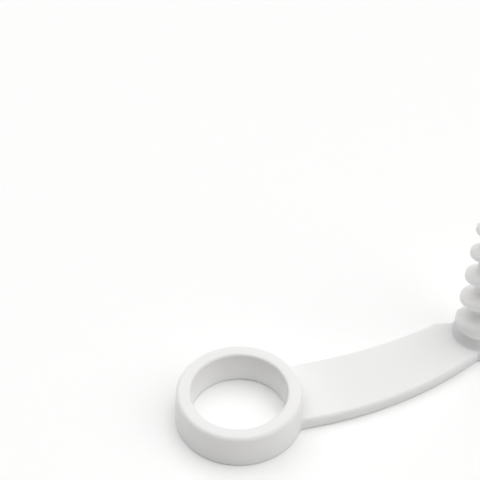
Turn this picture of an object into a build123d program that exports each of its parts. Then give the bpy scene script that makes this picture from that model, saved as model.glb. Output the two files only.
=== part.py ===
"""Hand-turned spiral cutter for root vegetables, modelled in millimetres with +Z up.

A tapered auger stands on the hub of a flat one-piece handle. The handle runs as a gently bowed arm
to a finger ring on one side, and as a short raised wing on the other. A steel blade sits in a slot
along the wing's leading edge. The auger pulls the tool into the food, one finger in the ring
turns it, and the blade cuts a slit that follows the auger's pitch. Nothing moves against anything
else, so every piece is held fast.

Frame: the origin is where the auger's axis meets the flat underside, X runs from the finger ring
to the wing, and Z points along the auger to its tip.
"""

import os
from math import atan2, cos, degrees, radians, sin, sqrt, tan

from build123d import *

# ---------------------------------------------------------------- driving dimensions (mm, degrees)

# finger ring
RING_REACH = 69.5  # auger axis to the middle of the ring
RING_BORE_RADIUS = 12.3
RING_TOP_WALL = 3.7  # wall thickness at the top
RING_HEIGHT = 9.6
RING_DRAFT = 2.6  # the outer wall widens downwards
RING_TOP_ROUND = 1.3
RING_BOTTOM_BEVEL = 0.25

# arm, a plate with both edges bowed to the front, thicker at the ring than at the hub
PLATE_THICKNESS = 3.0  # hub and wing
ARM_RING_THICKNESS = 3.7
ARM_RING_FRONT = 10.4  # centre line to the front edge, at the ring
ARM_RING_BACK = 9.5
ARM_FRONT_BOW = 3.15
ARM_BACK_BOW = 2.25
PLATE_TOP_BEVEL = 0.7
PLATE_BOTTOM_BEVEL = 0.25
HUB_RADIUS = 8.0
HUB_FRONT_LENGTH = 4.5  # the arm's front edge ends this far short of the axis
SHOULDER_LENGTH = 1.2  # the arm's back edge ends this far outside the hub
SHOULDER_WIDTH = 7.7  # centre line to the back edge there
SHOULDER_ROUND = 1.5

# auger
TIP_HEIGHT = 66.0  # above the underside
PITCH = 8.1
FLIGHT_RADIUS = 7.3  # at the underside, before the taper
FLIGHT_RIM = 1.5  # half the thickness of the rounded rim
FLIGHT_TIP_RIM = 0.5  # what is left of FLIGHT_RIM where the flight's radius reaches nothing
FLIGHT_FLARE = 1.4  # the flight is this much thicker at its root than at its rim
FLIGHT_ROOT_DEPTH = 0.7  # the root lies at this share of the core's radius
FLIGHT_LEFT_HEIGHT = 7.5  # the flight's middle where it crosses FLIGHT_LEFT_AZIMUTH
FLIGHT_LEFT_AZIMUTH = 145.4
FLIGHT_RUN_OUT = 5.0  # the flight ends this far below the tip
CORE_RADIUS = 2.9
TIP_RADIUS = 0.2
FOOT_RADIUS = 7.8  # the auger's foot, flared where it seats on the hub
FOOT_RIM = 0.3  # thickness of the foot's edge
NECK_RADIUS = 5.7  # above the flare
NECK_LENGTH = 7.0  # from the flare to the bare core
STEPS_PER_TURN = 14
CORE_STEPS = 4

# curved profiles are drawn with a few flats, which keeps the solids light
ROUND_FLATS = 3

# square drive between the auger and the hub, with the screw that pulls it home
TENON_WIDTH = 6.4
TENON_CORNER = 0.8
TENON_CLEARANCE = 0.1
SCREW_HEAD_RADIUS = 5.0
SCREW_HEAD_THICKNESS = 1.1
SCREW_HEAD_BEVEL = 0.5
SCREW_HEAD_INSET = 0.15  # the head stays this far above the underside
SCREW_RADIUS = 1.25
SCREW_LENGTH = 12.0  # under the head, point included
SCREW_POINT = 2.0
FIT_CLEARANCE = 0.05
RECESS_CLEARANCE = 0.3
DRIVE_ARM_LENGTH = 4.2
DRIVE_ARM_WIDTH = 0.8
DRIVE_DEPTH = 0.6

# wing and blade
WING_REACH = 34.0
WING_LEADING_WIDTH = 3.6  # from the centre line to the leading edge
WING_TIP_TRAILING_WIDTH = 5.0
WING_CORNER_ROUND = 2.0
RAMP_LENGTH = 4.5
RAMP_FOOT_GAP = 0.4
RAMP_BEND = 2.0
BLADE_THICKNESS = 0.8
BLADE_TIP_INSET = 1.0  # the blade ends this far short of the wing's tip
BLADE_TRAILING_WIDTH = 3.4  # from the centre line back into the slot
BLADE_LEADING_WIDTH = 7.6
BLADE_FOOT_GAP = 0.5
BLADE_BEVEL = 2.6
BLADE_EDGE = 0.12  # thickness left at the cutting edge
BLADE_CORNER_ROUND = 2.0
SLOT_CLEARANCE = 0.02
SLOT_END_GAP = 0.2
RIVET_RADIUS = 1.5
RIVET_HEAD_RADIUS = 2.6
RIVET_CROWN_RADIUS = 1.5
RIVET_HEAD_HEIGHT = 0.8
RIVET_RAMP_GAP = 0.5  # from the end of the ramp to the first head
RIVET_SPACING = 9.6
RIVET_OFFSET = -0.9

# ---------------------------------------------------------------- sizes that follow

RIM_ANGLES = (-72, -24, 24, 72)  # corners of the flats that round the flight's rim
WING_LIFT = PITCH / 2  # half a turn later the arm meets the slit that the blade has cut
FLARE_RADIUS = FOOT_RADIUS - NECK_RADIUS
FOOT_TOP = PLATE_THICKNESS + FOOT_RIM + FLARE_RADIUS
WING_BOTTOM = WING_LIFT
WING_TOP = WING_LIFT + PLATE_THICKNESS
BLADE_REACH = WING_REACH - BLADE_TIP_INSET
BLADE_BOTTOM = (WING_BOTTOM + WING_TOP - BLADE_THICKNESS) / 2
RING_TOP_RADIUS = RING_BORE_RADIUS + RING_TOP_WALL
RECESS_DEPTH = SCREW_HEAD_INSET + SCREW_HEAD_THICKNESS
RECESS_RADIUS = SCREW_HEAD_RADIUS + RECESS_CLEARANCE
TENON_BOTTOM = RECESS_DEPTH + FIT_CLEARANCE
ARM_ROOT = RING_REACH - RING_BORE_RADIUS
RING_WALL_MIDDLE = RING_BORE_RADIUS + RING_TOP_WALL / 2  # the arm ends here
ARM_END = HUB_RADIUS + SHOULDER_LENGTH
RAMP_ANGLE = atan2(WING_LIFT, RAMP_LENGTH)
RAMP_START = FOOT_RADIUS + RAMP_FOOT_GAP + RAMP_BEND * tan(RAMP_ANGLE / 2)
RAMP_SHIFT = PLATE_THICKNESS * tan(RAMP_ANGLE / 2)  # keeps the plate's thickness on the ramp
RAMP_END = RAMP_START + RAMP_SHIFT + RAMP_LENGTH + RAMP_BEND * tan(RAMP_ANGLE / 2)
FIRST_RIVET = RAMP_END + RIVET_RAMP_GAP + RIVET_HEAD_RADIUS
RIVET_STATIONS = (FIRST_RIVET, FIRST_RIVET + RIVET_SPACING)  # distances from the auger's axis
ring_axis = Axis((-RING_REACH, 0, 0), (0, 0, 1))


def flight_radius(height):
    """Outer radius of the flight, a parabola whose vertex is the tip."""
    return FLIGHT_RADIUS * sqrt(1 - height / TIP_HEIGHT)


def core_radius(height):
    """Radius of the core, an ellipse that closes at the tip."""
    return CORE_RADIUS * sqrt(1 - (height / TIP_HEIGHT) ** 2)


def flight_azimuth(height):
    """Direction in which the right-handed flight points at a height."""
    return FLIGHT_LEFT_AZIMUTH + 360 * (height - FLIGHT_LEFT_HEIGHT) / PITCH


def rounding(centre_x, centre_z, radius, start, end):
    """Points round a quarter turn or less of a profile's corner, between two angles."""
    turns = [radians(start + (end - start) * flat / ROUND_FLATS) for flat in range(ROUND_FLATS + 1)]
    return [(centre_x + radius * cos(turn), centre_z + radius * sin(turn)) for turn in turns]


def outline(patch):
    """Outer edges of a patch of faces: those that only one of its faces has."""
    borders = [edge for face in patch for edge in face.edges()]
    return [edge for edge in borders if sum(edge.is_same(other) for other in borders) == 1]


# ---------------------------------------------------------------- handle body

# wing: a plate that steps up beside the collar, cut to its outline
with BuildPart() as wing_form:
    with BuildSketch(Plane.XZ):
        with BuildLine():
            Polyline(
                (0, 0),
                (RAMP_START + RAMP_SHIFT, 0),
                (RAMP_START + RAMP_SHIFT + RAMP_LENGTH, WING_BOTTOM),
                (WING_REACH, WING_BOTTOM),
                (WING_REACH, WING_TOP),
                (RAMP_START + RAMP_LENGTH, WING_TOP),
                (RAMP_START, PLATE_THICKNESS),
                (0, PLATE_THICKNESS),
                close=True,
            )
        make_face()
        fillet([v for v in vertices() if 0 < v.X < WING_REACH], RAMP_BEND)
    extrude(amount=2 * HUB_RADIUS, both=True)
    with BuildSketch():
        with BuildLine():
            Polyline(
                (0, -HUB_RADIUS),
                (WING_REACH, -WING_TIP_TRAILING_WIDTH),
                (WING_REACH, WING_LEADING_WIDTH),
                (0, WING_LEADING_WIDTH),
                close=True,
            )
        make_face()
        fillet(vertices().group_by(Axis.X)[-1], WING_CORNER_ROUND)
    extrude(amount=WING_TOP, mode=Mode.INTERSECT)
    for facing_up, bevel in ((1, PLATE_TOP_BEVEL), (-1, PLATE_BOTTOM_BEVEL)):
        surface = faces().filter_by(lambda f: f.normal_at().Z * facing_up > 0.3)
        chamfer([edge for edge in outline(surface) if edge.center().X > 0.1], bevel)

with BuildPart() as arm:
    with BuildSketch():
        with BuildLine():
            front = SagittaArc(
                (-ARM_ROOT, -ARM_RING_FRONT), (-HUB_FRONT_LENGTH, -HUB_RADIUS), -ARM_FRONT_BOW
            )
            back = SagittaArc((-ARM_END, SHOULDER_WIDTH), (-ARM_ROOT, ARM_RING_BACK), ARM_BACK_BOW)
            Polyline(front @ 1, (0, -HUB_RADIUS), (0, 0), back @ 0)
            Line(back @ 1, front @ 0)
        make_face()
        with Locations((-RING_REACH, 0)):
            Circle(RING_WALL_MIDDLE, mode=Mode.SUBTRACT)
        Circle(HUB_RADIUS)
        shoulder = [v for v in vertices() if v.Y > 0 and -ARM_END - SHOULDER_LENGTH < v.X < -1]
        fillet(shoulder, SHOULDER_ROUND)
    extrude(amount=ARM_RING_THICKNESS)
    with BuildSketch(Plane.XZ):
        with BuildLine():
            Polyline(
                (-ARM_ROOT, 0),
                (HUB_RADIUS, 0),
                (HUB_RADIUS, PLATE_THICKNESS),
                (-ARM_END, PLATE_THICKNESS),
                (-ARM_ROOT, ARM_RING_THICKNESS),
                close=True,
            )
        make_face()
    extrude(amount=2 * ARM_ROOT, both=True, mode=Mode.INTERSECT)
    chamfer(outline(faces().filter_by(lambda f: f.normal_at().Z > 0.9)), PLATE_TOP_BEVEL)
    chamfer(outline(faces().sort_by(Axis.Z)[:1]), PLATE_BOTTOM_BEVEL)

with BuildPart() as finger_ring:
    with BuildSketch(Plane.XZ):
        with BuildLine():
            bore_side = -RING_REACH + RING_BORE_RADIUS
            outside = -RING_REACH + RING_TOP_RADIUS
            round_height = RING_HEIGHT - RING_TOP_ROUND
            Polyline(
                (bore_side, 0),
                (outside + RING_HEIGHT * sin(radians(RING_DRAFT)), 0),
                *rounding(outside - RING_TOP_ROUND, round_height, RING_TOP_ROUND, 0, 90),
                *rounding(bore_side + RING_TOP_ROUND, round_height, RING_TOP_ROUND, 90, 180),
                close=True,
            )
        make_face()
        chamfer(vertices().group_by(Axis.Y)[0], RING_BOTTOM_BEVEL)
    revolve(axis=ring_axis)

with BuildPart() as handle_body:
    add(finger_ring.part)
    add(arm.part)
    add(wing_form.part)

    # socket for the auger's tenon, and the recess for the screw head under it
    with BuildSketch():
        RectangleRounded(
            TENON_WIDTH + 2 * TENON_CLEARANCE,
            TENON_WIDTH + 2 * TENON_CLEARANCE,
            TENON_CORNER + TENON_CLEARANCE,
        )
    extrude(amount=PLATE_THICKNESS, mode=Mode.SUBTRACT)
    with BuildSketch():
        Circle(RECESS_RADIUS)
    extrude(amount=RECESS_DEPTH, mode=Mode.SUBTRACT)

    # slot for the blade, open at the leading edge
    with BuildSketch(Plane.XY.offset(BLADE_BOTTOM - SLOT_CLEARANCE)):
        with Locations((FOOT_RADIUS, -BLADE_TRAILING_WIDTH - SLOT_END_GAP)):
            Rectangle(
                BLADE_REACH + SLOT_END_GAP - FOOT_RADIUS,
                BLADE_TRAILING_WIDTH + SLOT_END_GAP + BLADE_LEADING_WIDTH,
                align=(Align.MIN, Align.MIN),
            )
    extrude(amount=BLADE_THICKNESS + 2 * SLOT_CLEARANCE, mode=Mode.SUBTRACT)
    with Locations(*[(station, RIVET_OFFSET, 0) for station in RIVET_STATIONS]):
        Hole(RIVET_RADIUS + FIT_CLEARANCE)

# ---------------------------------------------------------------- auger

# flight: a ruled loft through one section for each step round the core
with BuildPart() as flight:
    flight_start = PLATE_THICKNESS + FLIGHT_RIM / 2
    flight_end = TIP_HEIGHT - FLIGHT_RUN_OUT
    steps = round((flight_end - flight_start) / PITCH * STEPS_PER_TURN)
    for step in range(steps + 1):
        height = flight_start + (flight_end - flight_start) * step / steps
        azimuth = radians(flight_azimuth(height))
        section = Plane(
            origin=(0, 0, height),
            x_dir=(cos(azimuth), sin(azimuth), 0),
            z_dir=(sin(azimuth), -cos(azimuth), 0),
        )
        outer = flight_radius(height)
        inner = FLIGHT_ROOT_DEPTH * core_radius(height)
        rim = FLIGHT_TIP_RIM + (FLIGHT_RIM - FLIGHT_TIP_RIM) * outer / FLIGHT_RADIUS
        root = FLIGHT_FLARE * rim
        edge = [(outer - rim + rim * cos(radians(a)), rim * sin(radians(a))) for a in RIM_ANGLES]
        with BuildSketch(section):
            with BuildLine():
                Polyline((inner, -root), *edge, (inner, root), close=True)
            make_face()
    loft(ruled=True)

# core: drawn out to the point, with as many sides as the flight has steps
with BuildPart() as core:
    for step in range(CORE_STEPS + 1):
        share = sin(radians(90 * step / CORE_STEPS))
        height = PLATE_THICKNESS + (TIP_HEIGHT - PLATE_THICKNESS) * share
        with BuildSketch(Plane.XY.offset(height)):
            RegularPolygon(max(core_radius(height), TIP_RADIUS), STEPS_PER_TURN)
    loft(ruled=True)

with BuildPart() as auger:
    add(flight.part)
    with BuildSketch():
        Circle(2 * FOOT_RADIUS)
    extrude(amount=PLATE_THICKNESS, mode=Mode.SUBTRACT)
    add(core.part)
    # foot that seats on the hub: a hollow flare up to the neck, which narrows to the bare core
    with BuildSketch(Plane.XZ):
        with BuildLine():
            flare = rounding(NECK_RADIUS + FLARE_RADIUS, FOOT_TOP, FLARE_RADIUS, 180, 270)
            Polyline(
                *flare,
                (FOOT_RADIUS, PLATE_THICKNESS),
                (0, PLATE_THICKNESS),
                (0, FOOT_TOP + NECK_LENGTH),
                (core_radius(FOOT_TOP + NECK_LENGTH), FOOT_TOP + NECK_LENGTH),
                close=True,
            )
        make_face()
    revolve(axis=Axis.Z)
    # tenon
    with BuildSketch(Plane.XY.offset(TENON_BOTTOM)):
        RectangleRounded(TENON_WIDTH, TENON_WIDTH, TENON_CORNER)
    extrude(amount=PLATE_THICKNESS - TENON_BOTTOM)
    # pilot hole for the screw
    with BuildSketch(Plane.XY.offset(TENON_BOTTOM)):
        Circle(SCREW_RADIUS + FIT_CLEARANCE)
    extrude(amount=SCREW_LENGTH, mode=Mode.SUBTRACT)

# ---------------------------------------------------------------- blade

with BuildPart() as blade:
    with BuildSketch(Plane.XY.offset(BLADE_BOTTOM)):
        with Locations((0, -BLADE_TRAILING_WIDTH)):
            Rectangle(
                BLADE_REACH,
                BLADE_TRAILING_WIDTH + BLADE_LEADING_WIDTH,
                align=(Align.MIN, Align.MIN),
            )
        fillet(vertices().group_by(Axis.X)[-1].sort_by(Axis.Y)[-1], BLADE_CORNER_ROUND)
        Circle(FOOT_RADIUS + BLADE_FOOT_GAP, mode=Mode.SUBTRACT)
        with Locations(*[(station, RIVET_OFFSET) for station in RIVET_STATIONS]):
            Circle(RIVET_RADIUS + FIT_CLEARANCE, mode=Mode.SUBTRACT)
    extrude(amount=BLADE_THICKNESS)
    # single bevel along the leading edge
    with BuildSketch(Plane.YZ):
        with BuildLine():
            Polyline(
                (BLADE_LEADING_WIDTH - BLADE_BEVEL, BLADE_BOTTOM + BLADE_THICKNESS),
                (BLADE_LEADING_WIDTH, BLADE_BOTTOM + BLADE_EDGE),
                (BLADE_LEADING_WIDTH, BLADE_BOTTOM + BLADE_THICKNESS),
                close=True,
            )
        make_face()
    extrude(amount=BLADE_REACH, mode=Mode.SUBTRACT)

# ---------------------------------------------------------------- fasteners

with BuildPart() as blade_rivets:
    for station in RIVET_STATIONS:
        rivet_axis = Axis((station, RIVET_OFFSET, 0), (0, 0, 1))
        with BuildSketch(Plane.XZ.offset(-RIVET_OFFSET)):
            with BuildLine():
                Polyline(
                    (station, WING_TOP + RIVET_HEAD_HEIGHT),
                    (station + RIVET_CROWN_RADIUS, WING_TOP + RIVET_HEAD_HEIGHT),
                    (station + RIVET_HEAD_RADIUS, WING_TOP),
                    (station + RIVET_RADIUS, WING_TOP),
                    (station + RIVET_RADIUS, WING_BOTTOM),
                    (station + RIVET_HEAD_RADIUS, WING_BOTTOM),
                    (station + RIVET_CROWN_RADIUS, WING_BOTTOM - RIVET_HEAD_HEIGHT),
                    (station, WING_BOTTOM - RIVET_HEAD_HEIGHT),
                    close=True,
                )
            make_face()
        revolve(axis=rivet_axis)

with BuildPart() as auger_screw:
    head_top = RECESS_DEPTH
    with BuildSketch(Plane.XZ):
        with BuildLine():
            Polyline(
                (0, SCREW_HEAD_INSET),
                (SCREW_HEAD_RADIUS, SCREW_HEAD_INSET),
                (SCREW_HEAD_RADIUS, head_top),
                (SCREW_RADIUS, head_top),
                (SCREW_RADIUS, head_top + SCREW_LENGTH - SCREW_POINT),
                (0, head_top + SCREW_LENGTH),
                close=True,
            )
        make_face()
    revolve(axis=Axis.Z)
    chamfer(edges().group_by(Axis.Z)[0], SCREW_HEAD_BEVEL)
    with BuildSketch(Plane.XY.offset(SCREW_HEAD_INSET)):
        Rectangle(DRIVE_ARM_LENGTH, DRIVE_ARM_WIDTH)
        Rectangle(DRIVE_ARM_WIDTH, DRIVE_ARM_LENGTH)
    extrude(amount=DRIVE_DEPTH, mode=Mode.SUBTRACT)

# ---------------------------------------------------------------- files

os.makedirs("parts", exist_ok=True)
pieces = {
    "handle_body": handle_body,
    "auger": auger,
    "blade": blade,
    "blade_rivets": blade_rivets,
    "auger_screw": auger_screw,
}
for name, piece in pieces.items():
    piece.part.label = name
    export_step(piece.part, f"parts/{name}.step")
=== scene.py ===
# %% [markdown]
# A hand-turned spiral cutter for root vegetables
#
# The object is a small rigid kitchen tool. A finger ring and a flat bowed arm are one white
# moulding, a coarse screw of the same plastic stands on the arm's hub, and a steel blade sits in a
# raised wing behind it. Nothing on it moves, so every piece rides on one body.
# The cells below set up the view and the light first, then make the finishes, and then the pieces
# from the largest to the smallest.

from math import acos, asin, atan2, cos, degrees, pi, radians, sin, tan

import bmesh
import bpy
from mathutils import Matrix, Vector


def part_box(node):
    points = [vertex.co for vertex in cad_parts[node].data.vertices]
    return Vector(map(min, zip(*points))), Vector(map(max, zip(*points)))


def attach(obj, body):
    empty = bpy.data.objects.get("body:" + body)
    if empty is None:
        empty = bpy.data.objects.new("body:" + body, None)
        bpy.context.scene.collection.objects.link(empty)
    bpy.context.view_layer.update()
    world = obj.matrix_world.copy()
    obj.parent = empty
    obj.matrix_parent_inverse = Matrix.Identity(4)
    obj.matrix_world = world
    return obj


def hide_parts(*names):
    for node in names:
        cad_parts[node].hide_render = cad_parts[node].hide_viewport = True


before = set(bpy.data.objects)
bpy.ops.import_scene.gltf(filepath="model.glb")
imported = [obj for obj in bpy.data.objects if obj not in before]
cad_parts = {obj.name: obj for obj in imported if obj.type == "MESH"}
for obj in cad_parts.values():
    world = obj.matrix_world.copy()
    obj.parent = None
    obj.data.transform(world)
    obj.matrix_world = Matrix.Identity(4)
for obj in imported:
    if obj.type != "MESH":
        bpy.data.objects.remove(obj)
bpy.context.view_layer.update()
scene = bpy.context.scene
MM = 0.001

# %% [markdown]
# The view
#
# The picture looks down on the tool from the ring's side at about 43 degrees, with a long lens, so
# the ring is almost a plain ellipse and the screw stands near the right edge. A lens of 120 mm on a
# 36 mm sensor gives the same faint perspective. Its place was fitted to the ring's ellipses, the
# arm's front edge and the tips of the screw's turns.

# %% Camera
CAMERA_PLACE = Vector((-172.8, -247.8, 312.9)) * MM
CAMERA_TARGET = Vector((-44.0, 60.5, 0.2)) * MM
LENS_LENGTH, SENSOR_WIDTH = 120, 36  # millimetres, as Blender's camera takes them

camera = bpy.data.objects.new("camera", bpy.data.cameras.new("camera"))
scene.collection.objects.link(camera)
camera.location = CAMERA_PLACE
camera.rotation_euler = (CAMERA_TARGET - CAMERA_PLACE).to_track_quat("-Z", "Y").to_euler()
camera.data.lens = LENS_LENGTH
camera.data.sensor_width = SENSOR_WIDTH
scene.camera = camera
print("camera distance", round((CAMERA_TARGET - CAMERA_PLACE).length, 3), "m")

# %% [markdown]
# The light
#
# The tool lies on a white table under two broad soft lights, the stronger from above and behind and
# the weaker from the right. The walls that face right are bright, those that face the camera's left
# are the darkest, and what light those get comes mostly off the table. Wide suns keep the floor
# evenly bright out to the picture's edge, which a near lamp can't do, and a dim white world fills
# the rest. Together they light a level surface at just about 1, so a colour renders as written.

# %% Lights and world
scene.view_settings.view_transform = "Standard"

SKY_LEVEL = 0.15  # the light that the world gives
SEEN_LEVEL = 1.0  # how bright it looks to the camera, in a mirror and through clear things
SUNS = {  # name: (where it comes from, strength, degrees across)
    "back_sun": ((-0.1, 0.4, 1.0), 1.8, 75),
    "right_sun": ((0.7, -0.4, 1.0), 1.35, 70),
}

for name, (place, strength, spread) in SUNS.items():
    sun = bpy.data.objects.new(name, bpy.data.lights.new(name, "SUN"))
    scene.collection.objects.link(sun)
    sun.rotation_euler = Vector(place).to_track_quat("Z", "Y").to_euler()
    sun.data.energy = strength
    sun.data.angle = radians(spread)
    sun.visible_glossy = False  # bare metal mirrors the white room, and not the glare of a sun

world = bpy.data.worlds.new("white_room")
world.use_nodes = True
scene.world = world
sky = world.node_tree
background = sky.nodes["Background"]
background.inputs["Color"].default_value = (1, 1, 1, 1)

# 1 where a ray only looks at the world, and 0 where it gathers light from it
ray = sky.nodes.new("ShaderNodeLightPath")
seen = ray.outputs["Is Camera Ray"]
for kind in ("Is Glossy Ray", "Is Transmission Ray"):
    either = sky.nodes.new("ShaderNodeMath")
    either.operation = "MAXIMUM"
    sky.links.new(seen, either.inputs[0])
    sky.links.new(ray.outputs[kind], either.inputs[1])
    seen = either.outputs[0]
level = sky.nodes.new("ShaderNodeMapRange")
sky.links.new(seen, level.inputs["Value"])
level.inputs["To Min"].default_value = SKY_LEVEL
level.inputs["To Max"].default_value = SEEN_LEVEL
sky.links.new(level.outputs["Result"], background.inputs["Strength"])
print("sky", SKY_LEVEL, "suns", len(SUNS))

# %% [markdown]
# The floor
#
# A matt white table without a visible edge. It is large enough to reach past the horizon of every
# view.

# %% Floor
FLOOR_HALF = 3.0  # metres
TABLE_WHITE = (0.97, 0.97, 0.965, 1)

floor_mesh = bpy.data.meshes.new("table")
corners = [(x * FLOOR_HALF, y * FLOOR_HALF, 0) for x, y in ((-1, -1), (1, -1), (1, 1), (-1, 1))]
floor_mesh.from_pydata(corners, [], [(0, 1, 2, 3)])
table = bpy.data.objects.new("table", floor_mesh)
scene.collection.objects.link(table)
matt_white = bpy.data.materials.new("matt_white_table")
matt_white.use_nodes = True
table_shader = matt_white.node_tree.nodes["Principled BSDF"]
table_shader.inputs["Base Color"].default_value = TABLE_WHITE
table_shader.inputs["Roughness"].default_value = 1.0
table_shader.inputs["Specular IOR Level"].default_value = 0.0
floor_mesh.materials.append(matt_white)

# %% [markdown]
# White moulded plastic
#
# The handle and the screw are the same satin white plastic. The screw's copy is painted lighter,
# a painted brightening that stands in for the light through its thin flights and for their sheen.
# Up close it isn't one flat colour: the mould leaves a very fine grain, slow dips where the plastic
# shrank as it cooled, and a sheen that changes a little from place to place. Three noises of
# different size do this, one for colour, one for roughness and two for bump. They read Object
# coordinates, so they stay on the piece.

# %% A helper for noise, and the plastic
def noise_field(material, scale, detail=2.0, stretch=(1, 1, 1)):
    """A noise texture on the piece's own coordinates, in cycles per metre."""
    nodes, links = material.node_tree.nodes, material.node_tree.links
    place = nodes.new("ShaderNodeTexCoord")
    spread = nodes.new("ShaderNodeMapping")
    spread.inputs["Scale"].default_value = stretch
    noise = nodes.new("ShaderNodeTexNoise")
    noise.inputs["Scale"].default_value = scale
    noise.inputs["Detail"].default_value = detail
    links.new(place.outputs["Object"], spread.inputs["Vector"])
    links.new(spread.outputs["Vector"], noise.inputs["Vector"])
    return noise.outputs["Fac"]


def spread_between(material, field, low, high, source=(0.3, 0.7)):
    """Turns a 0 to 1 field into a number, or a colour, between two ends."""
    nodes, links = material.node_tree.nodes, material.node_tree.links
    if isinstance(low, tuple):
        ramp = nodes.new("ShaderNodeValToRGB")
        ramp.color_ramp.elements[0].position, ramp.color_ramp.elements[1].position = source
        ramp.color_ramp.elements[0].color = (*low, 1)
        ramp.color_ramp.elements[1].color = (*high, 1)
        links.new(field, ramp.inputs["Fac"])
        return ramp.outputs["Color"]
    reach = nodes.new("ShaderNodeMapRange")
    reach.inputs["From Min"].default_value, reach.inputs["From Max"].default_value = source
    reach.inputs["To Min"].default_value = low
    reach.inputs["To Max"].default_value = high
    links.new(field, reach.inputs["Value"])
    return reach.outputs["Result"]


def add_bump(material, field, depth_mm, after=None):
    """A bump of that depth from a field. after is an earlier bump that it adds to."""
    nodes, links = material.node_tree.nodes, material.node_tree.links
    bump = nodes.new("ShaderNodeBump")
    bump.inputs["Distance"].default_value = depth_mm * MM
    links.new(field, bump.inputs["Height"])
    if after is not None:
        links.new(after, bump.inputs["Normal"])
    return bump.outputs["Normal"]


def moulded_plastic(name, dark, light):
    """Satin moulded plastic between two nearly equal whites."""
    material = bpy.data.materials.new(name)
    material.use_nodes = True
    shader = material.node_tree.nodes["Principled BSDF"]
    links = material.node_tree.links
    cloudy = noise_field(material, scale=45, detail=3)
    links.new(spread_between(material, cloudy, dark, light), shader.inputs["Base Color"])
    patchy = noise_field(material, scale=160, detail=4)
    rough = spread_between(material, patchy, low=0.34, high=0.46)
    links.new(rough, shader.inputs["Roughness"])
    dips = noise_field(material, scale=70, detail=1)
    shrink = add_bump(material, dips, depth_mm=0.05)
    fine = noise_field(material, scale=5200, detail=2)
    grain = add_bump(material, fine, depth_mm=0.006, after=shrink)
    links.new(grain, shader.inputs["Normal"])
    shader.inputs["Specular IOR Level"].default_value = 0.3
    shader.inputs["Subsurface Weight"].default_value = 0.3
    shader.inputs["Subsurface Radius"].default_value = (1.0, 0.9, 0.8)
    shader.inputs["Subsurface Scale"].default_value = 2.5 * MM
    return material


body_plastic = moulded_plastic("body_plastic_white", (0.835, 0.832, 0.826), (0.855, 0.852, 0.846))
# painted light: the screw's copy of the plastic is lighter, for light through its thin flights and
# their sheen
auger_plastic_painted_lighter = moulded_plastic("auger_plastic_painted_brighter", (0.895, 0.892, 0.886), (0.915, 0.912, 0.906))
print("plastics:", body_plastic.name, auger_plastic_painted_lighter.name)

# %% [markdown]
# Steel and aluminium
#
# The blade is strip steel that was brushed along its length, the rivets are plain drawn aluminium
# and the screw is bright steel. A noise that is stretched along the brushing makes the hairlines,
# in the roughness as well as in the bump, and a slow noise dulls the metal in patches.

# %% Metals
DULL_SHARE = 0.93  # of the metal's colour, where it is dullest
LESS_ROUGH, MORE_ROUGH = 0.08, 0.1  # how far the hairlines swing the roughness


def worn_metal(name, colour, rough, scale, stretch, depth_mm):
    """A bare metal with hairlines of that scale and stretch, and a patchy shine."""
    material = bpy.data.materials.new(name)
    material.use_nodes = True
    shader = material.node_tree.nodes["Principled BSDF"]
    links = material.node_tree.links
    shader.inputs["Metallic"].default_value = 1.0
    dull = tuple(channel * DULL_SHARE for channel in colour)
    cloudy = noise_field(material, scale=220, detail=3)
    links.new(spread_between(material, cloudy, dull, colour), shader.inputs["Base Color"])
    hairlines = noise_field(material, scale, 3, stretch)
    shine = spread_between(material, hairlines, rough - LESS_ROUGH, rough + MORE_ROUGH)
    links.new(shine, shader.inputs["Roughness"])
    links.new(add_bump(material, hairlines, depth_mm), shader.inputs["Normal"])
    return material


blade_steel = worn_metal("blade_steel_brushed", (0.56, 0.57, 0.58), rough=0.3,
                         scale=5000, stretch=(0.03, 1, 1), depth_mm=0.004)
rivet_metal = worn_metal("rivet_aluminium", (0.72, 0.73, 0.74), rough=0.36,
                         scale=3000, stretch=(1, 1, 1), depth_mm=0.004)
screw_steel = worn_metal("screw_steel_bright", (0.52, 0.53, 0.54), rough=0.28,
                         scale=4000, stretch=(1, 1, 0.2), depth_mm=0.003)
print("metals:", blade_steel.name, rivet_metal.name, screw_steel.name)


def finish_node(node, material):
    """Gives a CAD node that stays in view its finish."""
    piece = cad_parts[node]
    piece.data.materials.clear()
    piece.data.materials.append(material)


# %% [markdown]
# The screw that pulls the tool into the food
#
# On the real tool this is one plastic moulding: a thin tapering core, a coarse right-handed flight
# with a thick round edge, and a flared foot on the hub. Sweeping a section along a helix would
# leave a hard line where the flight meets the core. So the whole skin is one rule instead: at each
# height and direction, the rule gives the distance from the axis. A bell of the distance to the
# nearest turn rises from the core to the flight's edge, which gives the round edge and the soft
# root of a moulding in one go. A second bell thickens the start of the first turn, on one side. A
# rule like this is what Geometry Nodes do well: a plain grid is rolled into a tube, and each point
# is moved out to its distance.

# %% Sizes of the screw, in millimetres and degrees, and short names for nodes
PLATE_TOP = 3.0
TIP_HEIGHT = 66.0
PITCH = 8.1
FLIGHT_RADIUS = 7.3
CORE_RADIUS = 2.9
FOOT_RADIUS = 7.2
NECK_RADIUS = 5.7
FOOT_RIM = 0.03  # so the flare runs out on the hub without an edge
NECK_LENGTH = 7.0
FLIGHT_LEFT_HEIGHT = 7.5  # a turn's crest passes this height on this side
FLIGHT_LEFT_AZIMUTH = 145.4
FLIGHT_START_HEIGHT = 7.8  # the first turn's level stretch, and the middle of its side
FLIGHT_START_AZIMUTH = 205
START_FADE = (-0.2, 0.3)  # it fades in between these cosines of the angle from that side
EDGE_WIDTH, TIP_EDGE_WIDTH = 1.95, 0.8  # half the flight's width, at the foot and at the tip
EDGE_SQUARENESS = 4.0
RUN_OUT_END, RUN_OUT_START = 2.5, 9.0  # the flight sinks into the core this far below the tip
ROOT_BLEND = 0.9
ROWS, COLUMNS = 501.0, 97.0
AXIS_ROW_END = 0.5  # rows below this one lie on the axis
MERGE_WITHIN = 1e-6  # metres
FOOT_CREASE = 60


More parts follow.
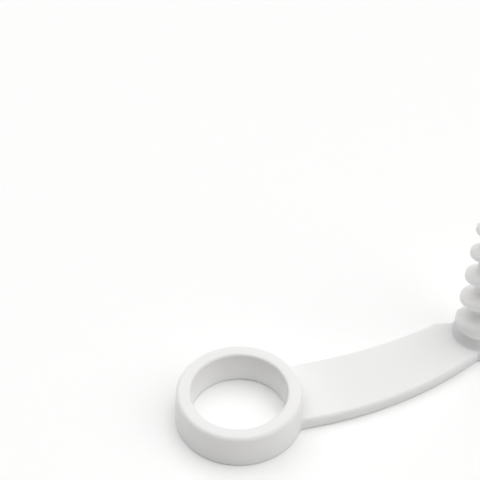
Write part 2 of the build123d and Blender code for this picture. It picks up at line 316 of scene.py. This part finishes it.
def modified_mesh(piece):
    """A new mesh of what a piece's modifiers make of it."""
    bpy.context.view_layer.update()
    evaluated = piece.evaluated_get(bpy.context.evaluated_depsgraph_get())
    return bpy.data.meshes.new_from_object(evaluated)


class Recipe:
    """A Geometry Nodes tree with named sizes, built by short calls."""

    def __init__(self, name, sizes):
        self.tree = bpy.data.node_groups.new(name, "GeometryNodeTree")
        self.inputs = {}
        for size in sizes:
            kind = {"Finish": "NodeSocketMaterial", "Rivet": "NodeSocketObject"}.get(
                size, "NodeSocketFloat")
            socket = self.tree.interface.new_socket(size, in_out="INPUT", socket_type=kind)
            self.inputs[size] = socket.identifier
        self.tree.interface.new_socket("Mesh", in_out="OUTPUT", socket_type="NodeSocketGeometry")
        self.entry = self.tree.nodes.new("NodeGroupInput")
        self.exit = self.tree.nodes.new("NodeGroupOutput")

    def size(self, name):
        return self.entry.outputs[name]

    def put(self, socket, value):
        if isinstance(value, bpy.types.NodeSocket):
            self.tree.links.new(value, socket)
        else:
            socket.default_value = value

    def math(self, operation, *values):
        node = self.tree.nodes.new("ShaderNodeMath")
        node.operation = operation
        for socket, value in zip(node.inputs, values):
            self.put(socket, value)
        return node.outputs[0]

    def node(self, kind, **values):
        node = self.tree.nodes.new(kind)
        for name, value in values.items():
            self.put(node.inputs[name.replace("_", " ")], value)
        return node

    def mesh(self, name, values):
        """Runs the recipe and returns its result as an object with a plain mesh."""
        holder = bpy.data.objects.new(name + "_recipe", bpy.data.meshes.new(name + "_recipe"))
        scene.collection.objects.link(holder)
        modifier = holder.modifiers.new("recipe", "NODES")
        modifier.node_group = self.tree
        for size, value in values.items():
            modifier[self.inputs[size]] = value
        holder.update_tag()
        mesh = modified_mesh(holder)
        bpy.data.objects.remove(holder)
        mesh.name = name
        piece = bpy.data.objects.new(name, mesh)
        scene.collection.objects.link(piece)
        print(name, len(mesh.vertices), "points", len(mesh.polygons), "faces")
        return piece


def face_outwards(piece, merge=0.0):
    """Merges doubles, drops flat faces and turns every face outwards."""
    shape = bmesh.new()
    shape.from_mesh(piece.data)
    if merge:
        bmesh.ops.remove_doubles(shape, verts=shape.verts, dist=merge)
        bmesh.ops.dissolve_degenerate(shape, dist=merge, edges=shape.edges)
    bmesh.ops.recalc_face_normals(shape, faces=shape.faces)
    open_edges = sum(1 for edge in shape.edges if len(edge.link_faces) != 2)
    print(piece.name, "open edges:", open_edges, "volume mm3:", round(shape.calc_volume() / MM**3, 1))
    shape.to_mesh(piece.data)
    shape.free()


# %% The rule for the screw's skin
auger_recipe = Recipe(
    "flighted_screw",
    ["Foot Height", "Tip Height", "Pitch", "Flight Radius", "Core Radius", "Foot Radius",
     "Neck Radius", "Foot Rim", "Neck Length", "Turn Height", "Turn Azimuth", "Start Height",
     "Start Azimuth", "Edge Width", "Tip Edge Width", "Edge Squareness", "Rows", "Columns",
     "Finish"],
)
r = auger_recipe
grid = r.node("GeometryNodeMeshGrid", Size_X=1.0, Size_Y=1.0,
              Vertices_X=r.size("Columns"), Vertices_Y=r.size("Rows"))
position = r.node("GeometryNodeInputPosition")
place = r.node("ShaderNodeSeparateXYZ", Vector=position.outputs[0])
around = r.math("MULTIPLY", r.math("ADD", place.outputs["X"], 0.5), 2 * pi)
row = r.math("ROUND", r.math("MULTIPLY", r.math("ADD", place.outputs["Y"], 0.5),
                             r.math("SUBTRACT", r.size("Rows"), 1)))
# the first row is the middle of the foot's underside, and the second is the foot's rim
share = r.math("DIVIDE", r.math("MAXIMUM", r.math("SUBTRACT", row, 1), 0),
               r.math("SUBTRACT", r.size("Rows"), 2))
climb = r.math("SUBTRACT", r.size("Tip Height"), r.size("Foot Height"))
height = r.math("MULTIPLY_ADD", share, climb, r.size("Foot Height"))

# core and flight radius at this height
level = r.math("DIVIDE", height, r.size("Tip Height"))
left = r.math("MAXIMUM", r.math("SUBTRACT", 1, r.math("MULTIPLY", level, level)), 0)
core = r.math("MULTIPLY", r.size("Core Radius"), r.math("SQRT", left))
outer = r.math("MULTIPLY", r.size("Flight Radius"),
               r.math("SQRT", r.math("MAXIMUM", r.math("SUBTRACT", 1, level), 0)))

# distance along the axis to the nearest turn, as a share of the flight's half width here
turn = r.math("MULTIPLY_ADD", r.math("SUBTRACT", around, r.size("Turn Azimuth")),
              r.math("DIVIDE", r.size("Pitch"), 2 * pi), r.size("Turn Height"))
half = r.math("MULTIPLY", r.size("Pitch"), 0.5)
away = r.math("ABSOLUTE", r.math("WRAP", r.math("SUBTRACT", height, turn), half,
                                 r.math("MULTIPLY", half, -1)))
width = r.math("MULTIPLY_ADD", r.math("DIVIDE", outer, r.size("Flight Radius")),
               r.math("SUBTRACT", r.size("Edge Width"), r.size("Tip Edge Width")),
               r.size("Tip Edge Width"))


def bell_over(distance):
    """1 on the crest, 0 far from it, with a shoulder at the flight's half width."""
    share_out = r.math("DIVIDE", distance, width)
    return r.math("DIVIDE", 1, r.math("ADD", 1, r.math("POWER", share_out,
                                                       r.size("Edge Squareness"))))


# the first turn grows out of the foot thicker: on one side it has a level underside
start_side = r.node("ShaderNodeMapRange",
                    Value=r.math("COSINE", r.math("SUBTRACT", around, r.size("Start Azimuth"))))
start_side.interpolation_type = "SMOOTHSTEP"
start_side.inputs["From Min"].default_value, start_side.inputs["From Max"].default_value = START_FADE
start_bell = r.math("MULTIPLY", start_side.outputs["Result"], bell_over(
    r.math("ABSOLUTE", r.math("SUBTRACT", height, r.size("Start Height")))))
bell = r.math("MAXIMUM", bell_over(away), start_bell)
run_out = r.node("ShaderNodeMapRange", Value=r.math("SUBTRACT", r.size("Tip Height"), height))
run_out.interpolation_type = "SMOOTHSTEP"
run_out.inputs["From Min"].default_value = RUN_OUT_END
run_out.inputs["From Max"].default_value = RUN_OUT_START
bell = r.math("MULTIPLY", bell, run_out.outputs["Result"])
thread = r.math("MULTIPLY_ADD", r.math("SUBTRACT", outer, core), bell, core)

# the foot's hollow flare, and the neck above it that narrows to the bare core
flare = r.math("SUBTRACT", r.size("Foot Radius"), r.size("Neck Radius"))
foot_top = r.math("ADD", r.math("ADD", r.size("Foot Height"), r.size("Foot Rim")), flare)
below = r.math("MAXIMUM", r.math("SUBTRACT", foot_top, height), 0)
bite = r.math("SQRT", r.math("MAXIMUM", r.math("SUBTRACT", r.math("MULTIPLY", flare, flare),
                                                 r.math("MULTIPLY", below, below)), 0))
above = r.math("MAXIMUM", r.math("SUBTRACT", height, foot_top), 0)
slope = r.math("DIVIDE", r.math("SUBTRACT", r.size("Neck Radius"), r.size("Core Radius")),
               r.size("Neck Length"))
foot = r.math("SUBTRACT", r.math("SUBTRACT", r.size("Foot Radius"), bite),
              r.math("MULTIPLY", slope, above))
reach = r.math("SMOOTH_MAX", thread, foot, ROOT_BLEND)
reach = r.math("MULTIPLY", reach, r.math("GREATER_THAN", row, AXIS_ROW_END))

# %% Roll the grid up by the rule and run it
point = r.node("ShaderNodeCombineXYZ",
               X=r.math("MULTIPLY", r.math("MULTIPLY", reach, r.math("COSINE", around)), MM),
               Y=r.math("MULTIPLY", r.math("MULTIPLY", reach, r.math("SINE", around)), MM),
               Z=r.math("MULTIPLY", height, MM))
rolled = r.node("GeometryNodeSetPosition", Geometry=grid.outputs["Mesh"], Position=point.outputs[0])
closed = r.node("GeometryNodeMergeByDistance", Geometry=rolled.outputs[0], Distance=MERGE_WITHIN)
soft = r.node("GeometryNodeSetShadeSmooth", Geometry=closed.outputs[0])
real = r.node("GeometryNodeRealizeInstances", Geometry=soft.outputs[0])
dressed = r.node("GeometryNodeSetMaterial", Geometry=real.outputs[0], Material=r.size("Finish"))
r.put(r.exit.inputs["Mesh"], dressed.outputs[0])

auger_skin = auger_recipe.mesh("auger_moulding", {
    "Foot Height": PLATE_TOP, "Tip Height": TIP_HEIGHT, "Pitch": PITCH,
    "Flight Radius": FLIGHT_RADIUS, "Core Radius": CORE_RADIUS, "Foot Radius": FOOT_RADIUS,
    "Neck Radius": NECK_RADIUS, "Foot Rim": FOOT_RIM, "Neck Length": NECK_LENGTH,
    "Turn Height": FLIGHT_LEFT_HEIGHT, "Turn Azimuth": radians(FLIGHT_LEFT_AZIMUTH),
    "Start Height": FLIGHT_START_HEIGHT, "Start Azimuth": radians(FLIGHT_START_AZIMUTH),
    "Edge Width": EDGE_WIDTH, "Tip Edge Width": TIP_EDGE_WIDTH,
    "Edge Squareness": EDGE_SQUARENESS, "Rows": ROWS, "Columns": COLUMNS,
    "Finish": auger_plastic_painted_lighter,
})
face_outwards(auger_skin, MERGE_WITHIN)
auger_skin.data.set_sharp_from_angle(angle=radians(FOOT_CREASE))  # only round the foot's underside
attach(auger_skin, "root")
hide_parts("auger")

# %% The screw's square tenon, which sits in the hub's socket
def piece_from(shape, name):
    """Turns a finished bmesh into an object of that name."""
    mesh = bpy.data.meshes.new(name)
    shape.to_mesh(mesh)
    shape.free()
    piece = bpy.data.objects.new(name, mesh)
    scene.collection.objects.link(piece)
    return piece


def prism(name, ring, low, high):
    """A closed upright prism on a ring of points, in millimetres."""
    shape = bmesh.new()
    floor = shape.faces.new([shape.verts.new((x * MM, y * MM, low * MM)) for x, y in ring])
    lifted = bmesh.ops.extrude_face_region(shape, geom=[floor])
    top = [item for item in lifted["geom"] if isinstance(item, bmesh.types.BMVert)]
    bmesh.ops.translate(shape, verts=top, vec=(0, 0, (high - low) * MM))
    bmesh.ops.recalc_face_normals(shape, faces=shape.faces)
    return piece_from(shape, name)


def arc(centre_x, centre_y, radius, start, end, steps):
    """Points along an arc, both ends included, angles in degrees."""
    turns = [radians(start + (end - start) * step / steps) for step in range(steps + 1)]
    return [(centre_x + radius * cos(turn), centre_y + radius * sin(turn)) for turn in turns]


def rounded_square(width, corner):
    """The outline of a square with rounded corners, round the axis."""
    side = width / 2 - corner
    places = ((side, side, 0), (-side, side, 90), (-side, -side, 180), (side, -side, 270))
    return [point for x, y, turn in places for point in arc(x, y, corner, turn, turn + 90, 5)]


TENON_WIDTH = 6.4
TENON_CORNER = 0.8
TENON_CLEARANCE = 0.1
TENON_BOTTOM = 1.3
TENON_LAP = 0.3  # the tenon reaches this far up into the foot
tenon = prism("auger_tenon", rounded_square(TENON_WIDTH, TENON_CORNER), TENON_BOTTOM,
              PLATE_TOP + TENON_LAP)
tenon.data.materials.append(auger_plastic_painted_lighter)
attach(tenon, "root")

# %% [markdown]
# The handle
#
# Ring, arm, hub and wing are one moulding. The ring is a profile turned round its own axis. The
# rest is a plate, so it starts as one outline, which is extruded, rounded along its rims, and then
# bent: the arm grows a little thicker towards the ring, and past the hub the plate steps up to
# carry the blade. The two are joined by a boolean, and so are the cuts for the tenon, the screw's
# head, the blade and the rivets.

# %% The ring, turned from its profile
RING_REACH = 69.5
RING_BORE_RADIUS = 12.3
RING_TOP_RADIUS = 16.0
RING_FOOT_RADIUS = 16.43
RING_HEIGHT = 9.6
RING_ROUND = 1.15  # on the outside; the bore's own edge is tighter
BORE_ROUND = 0.65
RING_FOOT_ROUND = 0.55
RING_CORNER = 3.0  # hollow corner between the arm's edges and the ring
AROUND = 192  # steps round the ring


def lathe(name, profile, steps, centre_x=0.0):
    """Turns a closed profile of (radius, height) points round an upright axis."""
    shape = bmesh.new()
    rings = []
    for step in range(steps):
        turn = 2 * pi * step / steps
        rings.append([
            shape.verts.new(((centre_x + out * cos(turn)) * MM, out * sin(turn) * MM, up * MM))
            for out, up in profile
        ])
    for here, there in zip(rings, rings[1:] + rings[:1]):
        for spot in range(len(profile)):
            ahead = (spot + 1) % len(profile)
            if profile[spot][0] == profile[ahead][0] == 0:
                continue  # a run along the axis has no surface
            shape.faces.new((here[spot], there[spot], there[ahead], here[ahead]))
    return piece_from(shape, name)


ring_profile = (
    arc(RING_BORE_RADIUS + RING_FOOT_ROUND, RING_FOOT_ROUND, RING_FOOT_ROUND, 180, 270, 3)
    + arc(RING_FOOT_RADIUS - RING_FOOT_ROUND, RING_FOOT_ROUND, RING_FOOT_ROUND, 270, 360, 3)
    + arc(RING_TOP_RADIUS - RING_ROUND, RING_HEIGHT - RING_ROUND, RING_ROUND, 0, 90, 10)
    + arc(RING_BORE_RADIUS + BORE_ROUND, RING_HEIGHT - BORE_ROUND, BORE_ROUND, 90, 180, 8)
)
ring = lathe("finger_ring", ring_profile, AROUND, -RING_REACH)
face_outwards(ring, MERGE_WITHIN)

# %% The plate's outline: front edge, wing, hub and back edge
ARM_ROOT = 57.2
ARM_RING_FRONT, ARM_RING_BACK = 10.4, 9.5
ARM_FRONT_BOW, ARM_BACK_BOW = 3.5, 2.25
HUB_RADIUS = 8.0
HUB_FRONT, HUB_BACK = -120.5, 129  # where the arm's edges meet the hub, degrees round it
SHOULDER_X, SHOULDER_Y, SHOULDER_ROUND = -9.2, 7.7, 1.5
HUB_CORNER_ROUND = SHOULDER_ROUND * 0.9
WING_REACH, WING_TIP_FRONT, WING_BACK = 34.0, -5.0, 3.6
WING_CORNER = 2.0
RING_CORNER_SPAN = 10  # degrees along the ring that stand in for a straight edge there


def bowed(start, end, bow, steps):
    """Points on an arc from start to end that stands bow to the left of its chord."""
    along = Vector(end) - Vector(start)
    side = Vector((-along.y, along.x)).normalized()
    half = along.length / 2
    radius = (half * half + bow * bow) / (2 * abs(bow))
    middle = Vector(start) + along / 2 + side * (bow - radius * (1 if bow > 0 else -1))
    first = atan2(start[1] - middle.y, start[0] - middle.x)
    last = atan2(end[1] - middle.y, end[0] - middle.x)
    turn = (last - first + pi) % (2 * pi) - pi
    return [(middle.x + radius * cos(first + turn * step / steps),
             middle.y + radius * sin(first + turn * step / steps)) for step in range(steps + 1)]


def rounded_corner(before, corner, after, radius, steps=8):
    """Replaces a corner between two straight edges by an arc of that radius."""
    corner = Vector(corner)
    back, ahead = (Vector(before) - corner).normalized(), (Vector(after) - corner).normalized()
    half = back.angle(ahead) / 2
    centre = corner + (back + ahead).normalized() * radius / sin(half)
    start = corner + back * radius / tan(half) - centre
    end = corner + ahead * radius / tan(half) - centre
    sweep = start.angle_signed(end)
    points = []
    for step in range(steps + 1):
        turn = -sweep * step / steps
        points.append((centre.x + start.x * cos(turn) - start.y * sin(turn),
                       centre.y + start.x * sin(turn) + start.y * cos(turn)))
    return points


def on_hub(turn):
    """The point on the hub's rim at that many degrees."""
    return arc(0, 0, HUB_RADIUS, turn, turn, 1)[0]


def on_ring(point, beyond):
    """The point on the ring's wall that lies that many degrees past a point."""
    turn = degrees(atan2(point[1], point[0] + RING_REACH)) + beyond
    reach = Vector((point[0] + RING_REACH, point[1])).length
    return arc(-RING_REACH, 0, reach, turn, turn, 1)[0]


hub_front_rim = arc(0, 0, HUB_RADIUS, HUB_FRONT, -90, 10)
front_edge = bowed((-ARM_ROOT, -ARM_RING_FRONT), hub_front_rim[0], -ARM_FRONT_BOW, 60)
back_edge = bowed((SHOULDER_X, SHOULDER_Y), (-ARM_ROOT, ARM_RING_BACK), ARM_BACK_BOW, 56)
wing_start = hub_front_rim[-1]
tip_front, tip_back = (WING_REACH, WING_TIP_FRONT), (WING_REACH, WING_BACK)
hub_start = degrees(asin(WING_BACK / HUB_RADIUS))  # where the hub's circle leaves the wing
hub_end = HUB_BACK - degrees(SHOULDER_ROUND / HUB_RADIUS)
hub_corner = on_hub(HUB_BACK)
hub_rim = arc(0, 0, HUB_RADIUS, hub_start, hub_end, 28)
shoulder = (SHOULDER_X, SHOULDER_Y)
ring_wall = RING_BORE_RADIUS + (RING_TOP_RADIUS - RING_BORE_RADIUS) / 2
ring_turn = degrees(acos((RING_REACH - ARM_ROOT) / ring_wall))
past_front = on_ring(front_edge[0], -RING_CORNER_SPAN)
past_back = on_ring(back_edge[-2], RING_CORNER_SPAN)

# the first and last points of each edge give way to its round corners
plate_outline = (
    rounded_corner(past_front, front_edge[0], front_edge[2], RING_CORNER)
    + front_edge[2:]
    + hub_front_rim[1:]
    + rounded_corner(wing_start, tip_front, tip_back, WING_CORNER)
    + rounded_corner(tip_front, tip_back, on_hub(hub_start), WING_CORNER)
    + hub_rim
    + rounded_corner(hub_rim[-1], hub_corner, shoulder, HUB_CORNER_ROUND)
    + rounded_corner(hub_corner, shoulder, back_edge[4], SHOULDER_ROUND)
    + back_edge[4:-4]
    + rounded_corner(back_edge[-4], back_edge[-2], past_back, RING_CORNER)
    + arc(-RING_REACH, 0, ring_wall, ring_turn, -ring_turn, 16)
)
print("outline points:", len(plate_outline))

# %% The plate: extruded, rounded along its rims, and bent
ARM_RING_THICKNESS = 3.7
ARM_END = -SHOULDER_X
RIM_ROUND = 0.95
UNDER_ROUND = 0.45
WING_LIFT = PITCH / 2
RAMP_START, RAMP_LENGTH, RAMP_SHIFT = 8.97, 4.5, 1.15
RAMP_BEND = 0.9  # half the length of each bend
SAME_HEIGHT = 0.01
SQUARE_EDGE = 1  # radians between two faces, from which their edge is a rim
CUTS = 24  # the plate is cut across so often along the arm, and again along the ramp
ARM_CUTS_FROM, ARM_CUTS_APART = -56, 2
RAMP_CUTS_FROM, RAMP_CUTS_APART = RAMP_START - 1, 0.35

plate = prism("plate", plate_outline, 0, PLATE_TOP)
shape = bmesh.new()
shape.from_mesh(plate.data)


def rim_edges(at_height):
    """The edges round the flat face at that height, in millimetres."""
    return [edge for edge in shape.edges
            if all(abs(v.co.z / MM - at_height) < SAME_HEIGHT for v in edge.verts)
            and edge.calc_face_angle(0) > SQUARE_EDGE]


for at_height, rim, steps in ((PLATE_TOP, RIM_ROUND, 8), (0, UNDER_ROUND, 3)):
    bmesh.ops.bevel(shape, geom=rim_edges(at_height), offset=rim * MM, offset_type="OFFSET",
                    segments=steps, profile=0.5, affect="EDGES", clamp_overlap=False)
cuts = [ARM_CUTS_FROM + ARM_CUTS_APART * step for step in range(CUTS)]
cuts += [RAMP_CUTS_FROM + RAMP_CUTS_APART * step for step in range(CUTS)]
for cut in cuts:
    bmesh.ops.bisect_plane(shape, geom=shape.verts[:] + shape.edges[:] + shape.faces[:],
                           plane_co=(cut * MM, 0, 0), plane_no=(1, 0, 0))


def ramp(x, start):
    """Height of the step up to the wing, from 0 to WING_LIFT, with a bend at each end."""
    slope = WING_LIFT / RAMP_LENGTH

    def bend(run):
        if run < -RAMP_BEND:
            return 0
        if run > RAMP_BEND:
            return run
        return (run + RAMP_BEND) ** 2 / (4 * RAMP_BEND)

    return slope * (bend(x - start) - bend(x - start - RAMP_LENGTH))


for point in shape.verts:
    x, z = point.co.x / MM, point.co.z / MM
    toward_ring = min(max((-x - ARM_END) / (ARM_ROOT - ARM_END), 0), 1)
    thicker = 1 + toward_ring * (ARM_RING_THICKNESS / PLATE_TOP - 1)
    step_start = RAMP_START + RAMP_SHIFT * (1 - z / PLATE_TOP)
    point.co.z = (z * thicker + ramp(x, step_start)) * MM
shape.to_mesh(plate.data)
shape.free()
face_outwards(plate)

# %% Join ring and plate, and cut the seats
RECESS_RADIUS, RECESS_DEPTH = 5.3, 1.25
SLOT_BOTTOM, SLOT_TOP = 5.13, 5.97
SLOT_FROM, SLOT_TO, SLOT_BACK = 7.8, 33.2, -3.6
SOCKET_BOTTOM, SOCKET_OVERCUT = 0.5, 0.5  # it starts inside the recess and ends above the hub
RECESS_OVERCUT = 1  # below the table
SLOT_OVERCUT = 4.0
RIVET_HOLE_BOTTOM, RIVET_HOLE_TOP = 2, 9
DISC_POINTS = 64
HANDLE_MERGE_WITHIN = 2e-6  # metres
HANDLE_CREASE, RIVET_CREASE = 32, 40  # degrees
RIVET_RADIUS, RIVET_HEAD_RADIUS, RIVET_CLEARANCE = 1.5, 2.6, 0.05
rivet_low, rivet_high = (Vector(corner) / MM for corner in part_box("blade_rivets"))
rivet_y = (rivet_low.y + rivet_high.y) / 2
rivet_stations = (rivet_low.x + RIVET_HEAD_RADIUS, rivet_high.x - RIVET_HEAD_RADIUS)


def combine(piece, other, operation):
    """Applies a boolean of piece with other, and takes other away. It works in millimetres,
    because the solver merges points that lie too close together in metres."""
    for part in (piece, other):
        part.data.transform(Matrix.Scale(1 / MM, 4))
    modifier = piece.modifiers.new("cut", "BOOLEAN")
    modifier.operation = operation
    modifier.solver = "MANIFOLD"
    modifier.object = other
    mesh = modified_mesh(piece)
    mesh.transform(Matrix.Scale(MM, 4))
    piece.modifiers.clear()
    piece.data = mesh
    print(operation.lower(), other.name, "->", len(mesh.polygons), "faces")
    bpy.data.objects.remove(other)


def disc(radius, x=0.0, y=0.0):
    """The outline of a disc."""
    return arc(x, y, radius, 0, 360 - 360 / DISC_POINTS, DISC_POINTS - 1)


socket_outline = rounded_square(TENON_WIDTH + 2 * TENON_CLEARANCE, TENON_CORNER + TENON_CLEARANCE)
slot_open_side = HUB_RADIUS + SLOT_OVERCUT
slot_outline = [(SLOT_FROM, SLOT_BACK), (SLOT_TO, SLOT_BACK),
                (SLOT_TO, slot_open_side), (SLOT_FROM, slot_open_side)]
cutters = [
    prism("socket", socket_outline, SOCKET_BOTTOM, PLATE_TOP + SOCKET_OVERCUT),
    prism("recess", disc(RECESS_RADIUS), -RECESS_OVERCUT, RECESS_DEPTH),
    prism("slot", slot_outline, SLOT_BOTTOM, SLOT_TOP),
]
cutters += [
    prism(f"rivet_hole_{number}", disc(RIVET_RADIUS + RIVET_CLEARANCE, x, rivet_y),
          RIVET_HOLE_BOTTOM, RIVET_HOLE_TOP)
    for number, x in enumerate(rivet_stations)
]
handle = ring
handle.name = "handle_moulding"
combine(handle, plate, "UNION")
for cutter in cutters:
    combine(handle, cutter, "DIFFERENCE")
face_outwards(handle, HANDLE_MERGE_WITHIN)


def smooth_with_edges(piece, sharp_degrees):
    """Smooth shading that stays crisp at corners and flat on the large faces."""
    piece.data.shade_smooth()
    piece.data.set_sharp_from_angle(angle=radians(sharp_degrees))
    modifier = piece.modifiers.new("flat_faces_first", "WEIGHTED_NORMAL")
    modifier.keep_sharp = True
    mesh = modified_mesh(piece)
    piece.modifiers.clear()
    piece.data = mesh


smooth_with_edges(handle, HANDLE_CREASE)
handle.data.materials.clear()
handle.data.materials.append(body_plastic)
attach(handle, "root")
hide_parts("handle_body")
print("handle faces:", len(handle.data.polygons))

# %% [markdown]
# The rivets
#
# Two soft aluminium rivets hold the blade in its slot. A rivet is turned from its profile once, and
# Geometry Nodes set it on a line at the blade's two holes. For two copies that is more than is
# needed, but the same line then holds for any number.

# %% One rivet, and the line of them
RIVET_DOME = 0.8
RIVET_AROUND = 48  # steps round a rivet
WING_BOTTOM, WING_TOP = WING_LIFT, WING_LIFT + PLATE_TOP


def dome(height, base, steps=8):
    """Half the section of a dome on a seat, from its rim to its crown."""
    ball = (RIVET_HEAD_RADIUS**2 + height**2) / (2 * height)
    reach = asin(RIVET_HEAD_RADIUS / ball)
    rise = 1 if height > 0 else -1
    turns = [abs(reach) * (1 - step / steps) for step in range(steps + 1)]
    return [(abs(ball) * sin(turn), base + height - rise * abs(ball) * (1 - cos(turn)))
            for turn in turns]


upper = dome(RIVET_DOME, WING_TOP)
under = dome(-RIVET_DOME, WING_BOTTOM)
rivet_profile = [(RIVET_RADIUS, WING_BOTTOM)] + under + upper[::-1] + [(RIVET_RADIUS, WING_TOP)]
one_rivet = lathe("one_rivet", rivet_profile, RIVET_AROUND)
face_outwards(one_rivet, MERGE_WITHIN)

rivet_recipe = Recipe("rivet_line", ["Count", "First", "Spacing", "Offset", "Rivet", "Finish"])
r = rivet_recipe
line = r.node("GeometryNodeMeshLine")
r.put(line.inputs["Count"], r.size("Count"))
start = r.node("ShaderNodeCombineXYZ", X=r.math("MULTIPLY", r.size("First"), MM),
               Y=r.math("MULTIPLY", r.size("Offset"), MM))
along = r.node("ShaderNodeCombineXYZ", X=r.math("MULTIPLY", r.size("Spacing"), MM))
r.put(line.inputs["Start Location"], start.outputs[0])
r.put(line.inputs["Offset"], along.outputs[0])
model = r.node("GeometryNodeObjectInfo", Object=r.size("Rivet"))
copies = r.node("GeometryNodeInstanceOnPoints", Points=line.outputs["Mesh"],
                Instance=model.outputs["Geometry"])
real = r.node("GeometryNodeRealizeInstances", Geometry=copies.outputs[0])
soft = r.node("GeometryNodeSetShadeSmooth", Geometry=real.outputs[0])
dressed = r.node("GeometryNodeSetMaterial", Geometry=soft.outputs[0], Material=r.size("Finish"))
r.put(r.exit.inputs["Mesh"], dressed.outputs[0])
rivets = rivet_recipe.mesh("rivet_pair", {
    "Count": 2.0, "First": rivet_stations[0], "Spacing": rivet_stations[1] - rivet_stations[0],
    "Offset": rivet_y, "Rivet": one_rivet, "Finish": rivet_metal,
})
bpy.data.objects.remove(one_rivet)
face_outwards(rivets)
smooth_with_edges(rivets, RIVET_CREASE)
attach(rivets, "root")
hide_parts("blade_rivets")

# %% [markdown]
# Blade and screw head
#
# Both stay as the CAD has them, because a ground strip and a turned head have plain faces and crisp
# edges there already. They only get their metal.

# %% Dress the CAD nodes that stay
finish_node("blade", blade_steel)
finish_node("auger_screw", screw_steel)
